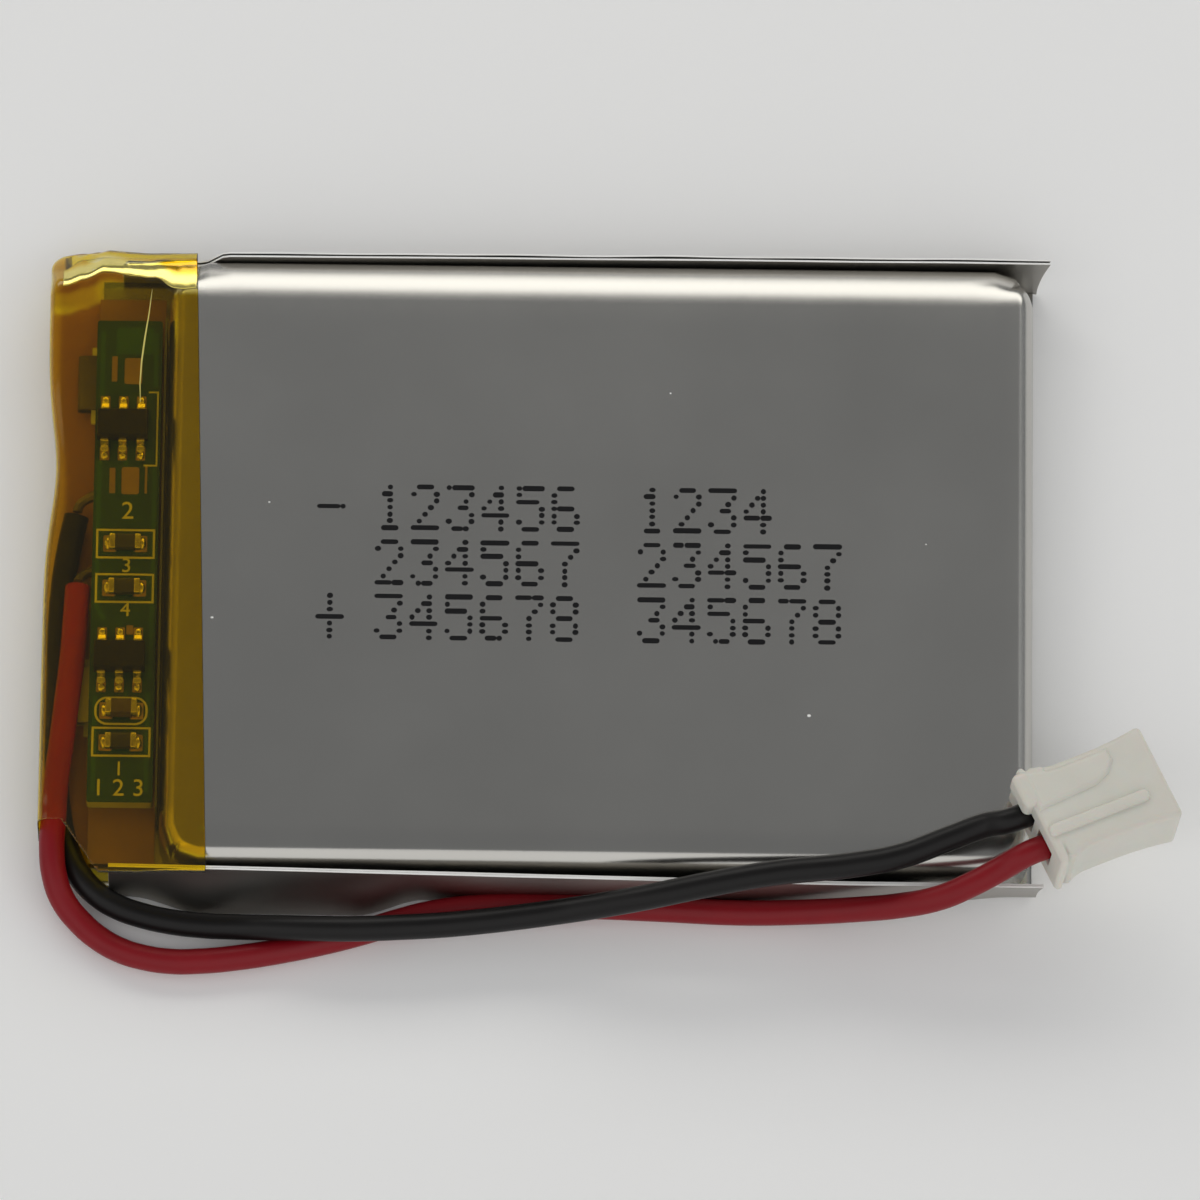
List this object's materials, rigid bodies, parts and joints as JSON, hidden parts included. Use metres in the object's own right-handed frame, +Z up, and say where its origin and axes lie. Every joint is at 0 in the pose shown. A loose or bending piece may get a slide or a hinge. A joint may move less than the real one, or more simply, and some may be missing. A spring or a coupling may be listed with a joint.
{
  "type": "pouch battery cell",
  "caption": "Flat lithium-polymer pouch cell with folded side seals, a taped-over protection board, two leads and a two-way plug.",
  "frame": {"origin": "bottom centre of the cell without its leads and plug, on the surface that it lies on", "axes": "+X along the cell from the board end to the folded end of the pouch, +Y across it away from the leads, +Z up through its thickness"},
  "size_m": [0.058, 0.0391, 0.0079],
  "materials": {
    "film": "satin laminate of aluminium and nylon film",
    "anode": "matte graphite coating on copper foil",
    "cathode": "matte oxide coating on aluminium foil",
    "separator": "white microporous film",
    "amber_tape": "glossy amber polyimide film",
    "wrap_tape": "thin clear amber polyimide film",
    "nickel": "satin nickel strip",
    "aluminium": "satin aluminium strip",
    "resin": "milky sealing resin",
    "board": "dark green solder mask",
    "insulating_paper": "matte insulating paper",
    "mould": "black moulding compound",
    "chip_black": "black glaze with tinned end caps",
    "chip_tan": "tan ceramic with tinned end caps",
    "solder": "bright solder",
    "tin": "tinned phosphor bronze",
    "black_insulation": "black vinyl insulation",
    "red_insulation": "red vinyl insulation",
    "nylon": "translucent off-white nylon"
  },
  "bodies": {
    "root": {"front_film_cup": "film", "back_film": "film", "terrace_film": "film", "rear_side_seal": "film", "front_side_seal": "film", "anode_sheet": "anode", "cathode_sheet": "cathode", "separator_inner": "separator", "separator_outer": "separator", "core_end_tape": "amber_tape", "negative_tab": "nickel", "positive_tab": "aluminium", "negative_tab_sealant": "resin", "positive_tab_sealant": "resin", "terrace_insulation": "amber_tape", "insulating_paper": "insulating_paper", "circuit_board": "board", "protection_ic": "mould", "switch_ic": "mould", "filter_resistor": "chip_black", "sense_resistor": "chip_black", "bridge_resistor": "chip_black", "filter_capacitor": "chip_tan", "negative_strip": "nickel", "positive_strip": "nickel", "solder_black": "solder", "solder_red": "solder", "outer_tape": "wrap_tape", "black_lead": "black_insulation", "red_lead": "red_insulation", "plug_housing": "nylon", "contact_negative": "tin", "contact_positive": "tin"}
  },
  "joints": []
}
